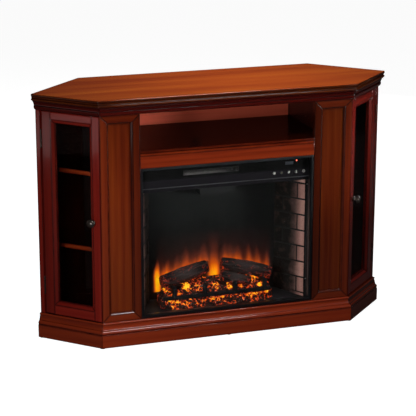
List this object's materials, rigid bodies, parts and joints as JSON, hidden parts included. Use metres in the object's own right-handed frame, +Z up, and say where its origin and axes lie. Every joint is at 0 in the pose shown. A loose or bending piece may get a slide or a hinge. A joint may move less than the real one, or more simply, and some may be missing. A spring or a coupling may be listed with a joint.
{
  "type": "electric fireplace tv stand",
  "caption": "Corner-cut cherry media cabinet with glazed side doors, an open shelf and an electric log firebox with push buttons.",
  "frame": {"origin": "bottom centre of the bounding box, on the floor", "axes": "+Z up, +X to the right as seen from the front, +Y from the front to the back"},
  "size_m": [1.219, 0.376, 0.819],
  "materials": {
    "cherry_veneer": "reddish cherry veneer under a glossy lacquer with darker glaze in the joints",
    "dark_veneer": "dark red satin veneer",
    "backing_board": "satin hardboard",
    "raw_timber": "bare pine",
    "black_steel": "satin black powder coat",
    "gloss_black": "gloss black",
    "black_plastic": "matte black",
    "button_plastic": "black satin plastic",
    "display_grey": "smoked grey window",
    "red_lamp": "lit red indicator",
    "silver_mesh": "bright expanded mesh",
    "dark_bronze": "dark antique bronze",
    "zinc_steel": "zinc plated",
    "clear_glass": "clear tempered glass",
    "smoked_screen": "smoked acrylic with a translucent back",
    "brick_relief": "moulded brick relief with dark mortar",
    "ember_resin": "translucent painted resin lit from below",
    "log_resin": "painted resin with a charred bark relief",
    "lamp_glass": "warm frosted bulb",
    "bright_foil": "polished foil",
    "heater_ceramic": "heater frame and wound bars",
    "circuit_board": "green circuit board",
    "cast_iron": "rough black casting"
  },
  "bodies": {
    "cabinet": {"top_panel": "cherry_veneer", "cornice_front": "cherry_veneer", "cornice_sides": "cherry_veneer", "base_front": "cherry_veneer", "base_sides": "cherry_veneer", "base_rails": "dark_veneer", "bottom_panel": "dark_veneer", "partitions": "dark_veneer", "side_rear_panels": "cherry_veneer", "back_panel": "backing_board", "corner_blocks": "raw_timber", "floor_glides": "black_plastic", "pilaster_frames": "cherry_veneer", "pilaster_panels": "cherry_veneer", "hinge_strips": "cherry_veneer", "media_shelf": "cherry_veneer", "media_apron": "cherry_veneer", "side_shelves": "dark_veneer", "shelf_pins": "zinc_steel", "hinge_frame_leaves": "dark_bronze", "door_catches": "black_plastic", "insert_casing": "black_steel", "insert_front_frame": "black_steel", "control_fascia": "gloss_black", "window_glass": "clear_glass", "outlet_grille": "silver_mesh", "display_window": "display_grey", "power_indicator": "red_lamp", "brick_panels": "brick_relief", "flame_screen": "smoked_screen", "ember_bed": "ember_resin", "log_grate": "cast_iron", "logs": "log_resin", "hearth_lamps": "lamp_glass", "spindle_motor": "zinc_steel", "heater_tray": "black_steel", "heater_duct": "zinc_steel", "blower_motor": "zinc_steel", "heating_element": "heater_ceramic", "control_board": "circuit_board", "cord_gland": "black_plastic", "mounting_brackets": "zinc_steel", "bracket_screws": "zinc_steel"},
    "left_door": {"left_door_frame": "cherry_veneer", "left_door_glass": "clear_glass", "left_door_knob": "dark_bronze", "left_door_hinge_leaves": "dark_bronze", "left_door_catch_plate": "zinc_steel"},
    "right_door": {"right_door_frame": "cherry_veneer", "right_door_glass": "clear_glass", "right_door_knob": "dark_bronze", "right_door_hinge_leaves": "dark_bronze", "right_door_catch_plate": "zinc_steel"},
    "blower": {"blower_wheel": "zinc_steel"},
    "spindle": {"flame_spindle": "bright_foil"},
    "flame_button": {"flame_button": "button_plastic"},
    "timer_button": {"timer_button": "button_plastic"},
    "heat_button": {"heat_button": "button_plastic"},
    "temperature_button": {"temperature_button": "button_plastic"},
    "power_button": {"power_button": "button_plastic"}
  },
  "joints": [
    {"name": "left_door_hinge", "type": "hinge", "parent": "cabinet", "child": "left_door", "pos_m": [-0.58051, -0.01471, 0.4245], "axis": [0, 0, -1], "range_deg": [0, 100]},
    {"name": "right_door_hinge", "type": "hinge", "parent": "cabinet", "child": "right_door", "pos_m": [0.58051, -0.01471, 0.4245], "axis": [0, 0, 1], "range_deg": [0, 100]},
    {"name": "flame_button_press", "type": "slide", "parent": "cabinet", "child": "flame_button", "axis": [0, 1, 0], "range_m": [0, 0.001], "stiffness_N_per_m": 250},
    {"name": "timer_button_press", "type": "slide", "parent": "cabinet", "child": "timer_button", "axis": [0, 1, 0], "range_m": [0, 0.001], "stiffness_N_per_m": 250},
    {"name": "heat_button_press", "type": "slide", "parent": "cabinet", "child": "heat_button", "axis": [0, 1, 0], "range_m": [0, 0.001], "stiffness_N_per_m": 250},
    {"name": "temperature_button_press", "type": "slide", "parent": "cabinet", "child": "temperature_button", "axis": [0, 1, 0], "range_m": [0, 0.001], "stiffness_N_per_m": 250},
    {"name": "power_button_press", "type": "slide", "parent": "cabinet", "child": "power_button", "axis": [0, 1, 0], "range_m": [0, 0.001], "stiffness_N_per_m": 250},
    {"name": "blower_spin", "type": "hinge", "parent": "cabinet", "child": "blower", "pos_m": [-0.0525, -0.0645, 0.547], "axis": [1, 0, 0], "continuous": true},
    {"name": "spindle_spin", "type": "hinge", "parent": "cabinet", "child": "spindle", "pos_m": [0, 0.028, 0.108], "axis": [1, 0, 0], "continuous": true}
  ]
}
